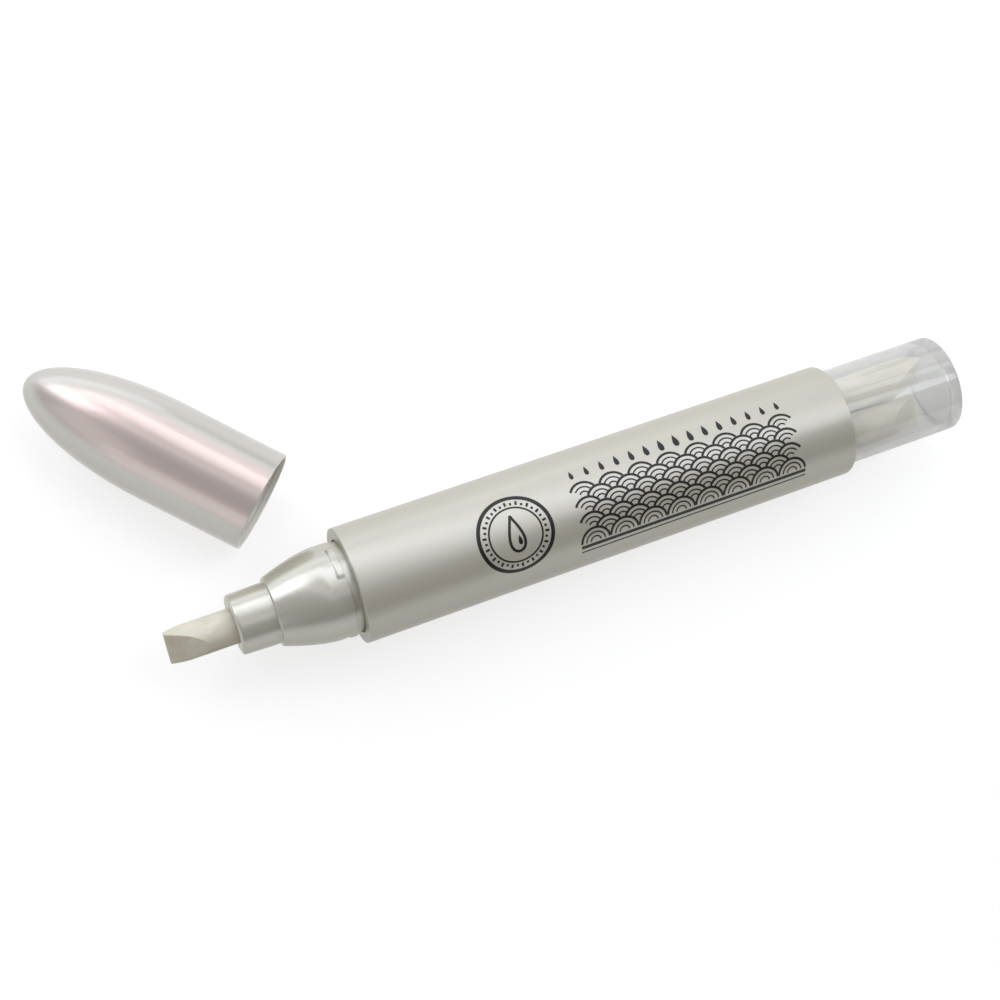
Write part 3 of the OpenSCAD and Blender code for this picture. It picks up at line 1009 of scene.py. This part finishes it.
def camera():
    """The photograph's view: near overhead, rolled, from a little in front of the tip."""
    data = bpy.data.cameras.new("camera")
    data.sensor_width = 36.0
    data.lens = 64.8
    data.clip_start = 0.01
    data.clip_end = 5.0
    view = bpy.data.objects.new("camera", data)
    view.location = Vector(CAMERA_PLACE) * MM
    view.rotation_euler = [math.radians(turn) for turn in CAMERA_TURN]
    bpy.context.collection.objects.link(view)
    bpy.context.scene.camera = view


def lamp(name, place, along, size, watts):
    """Rectangular soft box at a place, facing the pen, with its long side in one direction."""
    data = bpy.data.lights.new(name, "AREA")
    data.shape = "RECTANGLE"
    data.size = size[0] * MM
    data.size_y = size[1] * MM
    data.energy = watts
    data.color = srgb("#f8fbff")[:3]
    light = bpy.data.objects.new(name, data)
    light.location = Vector(place) * MM
    back = (Vector(place) - Vector(LAMP_AIM)).normalized()
    side = back.cross(Vector(along)).normalized()
    turn = Matrix((side.cross(back), side, back)).transposed()
    light.rotation_euler = turn.to_euler()
    bpy.context.collection.objects.link(light)


def white_card():
    """Matt white card. The eye, mirrors and clear plastic see it white, with faint shadows on it."""
    material, tree, output = new_material("white_card_table")
    path = add(tree, "ShaderNodeLightPath")
    seen = add(tree, "ShaderNodeMath", {
        0: path.outputs["Is Camera Ray"],
        1: path.outputs["Is Glossy Ray"],
    }, {"operation": "MAXIMUM"})
    seen = add(tree, "ShaderNodeMath", {
        0: seen.outputs["Value"],
        1: path.outputs["Is Transmission Ray"],
    }, {"operation": "MAXIMUM"})
    fibre = grain(tree, 1.2, detail=4.0)
    tone = add(tree, "ShaderNodeMix", {
        "Factor": fibre.outputs["Fac"],
        "A": srgb("#a2a2a2"),
        "B": srgb("#9c9c9c"),
    }, {"data_type": "RGBA"})
    shadow = add(tree, "ShaderNodeBsdfDiffuse", {"Color": tone.outputs["Result"]})
    glow = add(tree, "ShaderNodeEmission", {"Color": srgb("#ffffff"), "Strength": 0.74})
    bright = add(tree, "ShaderNodeAddShader", {0: shadow.outputs["BSDF"], 1: glow.outputs["Emission"]})
    # What it throws back on the pen is a little warm, as the low side of the real one shows.
    card = add(tree, "ShaderNodeBsdfDiffuse", {"Color": srgb("#c2b496")})
    mix = add(tree, "ShaderNodeMixShader", {
        0: seen.outputs["Value"],
        1: card.outputs["BSDF"],
        2: bright.outputs["Shader"],
    })
    tree.links.new(mix.outputs["Shader"], output.inputs["Surface"])
    return material


def table():
    """Round sheet of white card under the pen."""
    bm = bmesh.new()
    turn_on_lathe(bm, fillet([
        (0, 0, 0),
        (0, TABLE_FLAT_R, TABLE_FLAT_ROUND),
        (TABLE_RIM_H, TABLE_RIM_R, 0),
    ]))
    upright = Matrix.Rotation(math.radians(-90), 4, "Y")
    place = Matrix.Translation((0, 0, TABLE_Z - TABLE_GAP)) @ upright
    bmesh.ops.transform(bm, matrix=place, verts=bm.verts)
    finish_mesh("table", bm, white_card(), sharp=CARD_SHARP)


def surround():
    """Plain white room, at a low level because the soft boxes carry the light."""
    world = bpy.data.worlds.new("studio_surround")
    bpy.context.scene.world = world
    world.use_nodes = True
    tree = world.node_tree
    tree.nodes.clear()
    output = add(tree, "ShaderNodeOutputWorld")
    room = add(tree, "ShaderNodeBackground", {"Color": srgb("#ffffff"), "Strength": 0.12})
    tree.links.new(room.outputs["Background"], output.inputs["Surface"])


def soft_boxes():
    """Strips along the pen draw the bands of light on it, and wide boxes light its ends and far side."""
    lamp("strip_left", (-75, 45, 400), STRIP_ALONG, STRIP_SIZE, 0.13)
    lamp("strip_inner", (50, 107, 400), STRIP_ALONG, STRIP_SIZE, 0.23)
    lamp("strip_middle", (112, 139, 400), STRIP_ALONG, STRIP_SIZE, 0.29)
    lamp("strip_outer", (175, 170, 400), STRIP_ALONG, STRIP_SIZE, 0.36)
    lamp("strip_right", (300, 233, 400), STRIP_ALONG, STRIP_SIZE, 0.19)
    lamp("far_high_box", (0, 450, 300), ALONG_X, FAR_SIZE, 0.25)
    lamp("far_low_box", (0, 520, 150), ALONG_X, FAR_SIZE, 0.52)
    lamp("cone_box", (-250, 370, 400), ALONG_X, CONE_SIZE, 0.78)
    lamp("front_box", (-400, 0, 250), ALONG_Y, SQUARE_SIZE, 0.17)
    lamp("low_corner_box", (-350, -250, 150), ALONG_CORNER, CORNER_SIZE, 0.19)
    lamp("back_box", (500, 0, 300), ALONG_Y, SQUARE_SIZE, 0.7)
    lamp("far_corner_box", (380, 350, 300), ALONG_CORNER, CORNER_SIZE, 0.16)


bpy.context.scene.view_settings.view_transform = "Standard"
camera()
barrel(pearl_plastic("pearl_lacquered_polypropylene", "#c9c3b3", "#c2bcac", "#eaeaeb", "#dfe5e1",
                     share=0.22, roughness=0.34, coat=0.08))
nose(pearl_plastic("pearl_moulded_abs", "#cac5b5", "#c4bfae", "#f3f3f4", "#e2e7e2",
                   share=0.28, roughness=0.27, coat=0.15))
all_tips(bonded_felt())
tail_cover(clear_styrene())
cap_shell(pearl_plastic("pink_pearl_lacquered_abs", "#d2c9c3", "#cac1bb", "#ffdfda", "#dfe3dd",
                        share=0.34, roughness=0.29, coat=1.0, silk=0.03, inside="#fbf9f4", yaw=CAP_YAW))
cap_liner(moulded_plastic("soft_polyethylene", "#f3f3ee", "#e9e9e2", roughness=0.5, lump_mm=4.0))
barrel_print(screen_ink())
cover_cad("spare_nib_holder",
          moulded_plastic("moulded_polypropylene", "#e4e4dc", "#d9d9d0", roughness=0.45, lump_mm=5.0))
cover_cad("reservoir_core", soaked_wadding())
cover_cad("reservoir_film", wrap_film())
table()
surround()
soft_boxes()
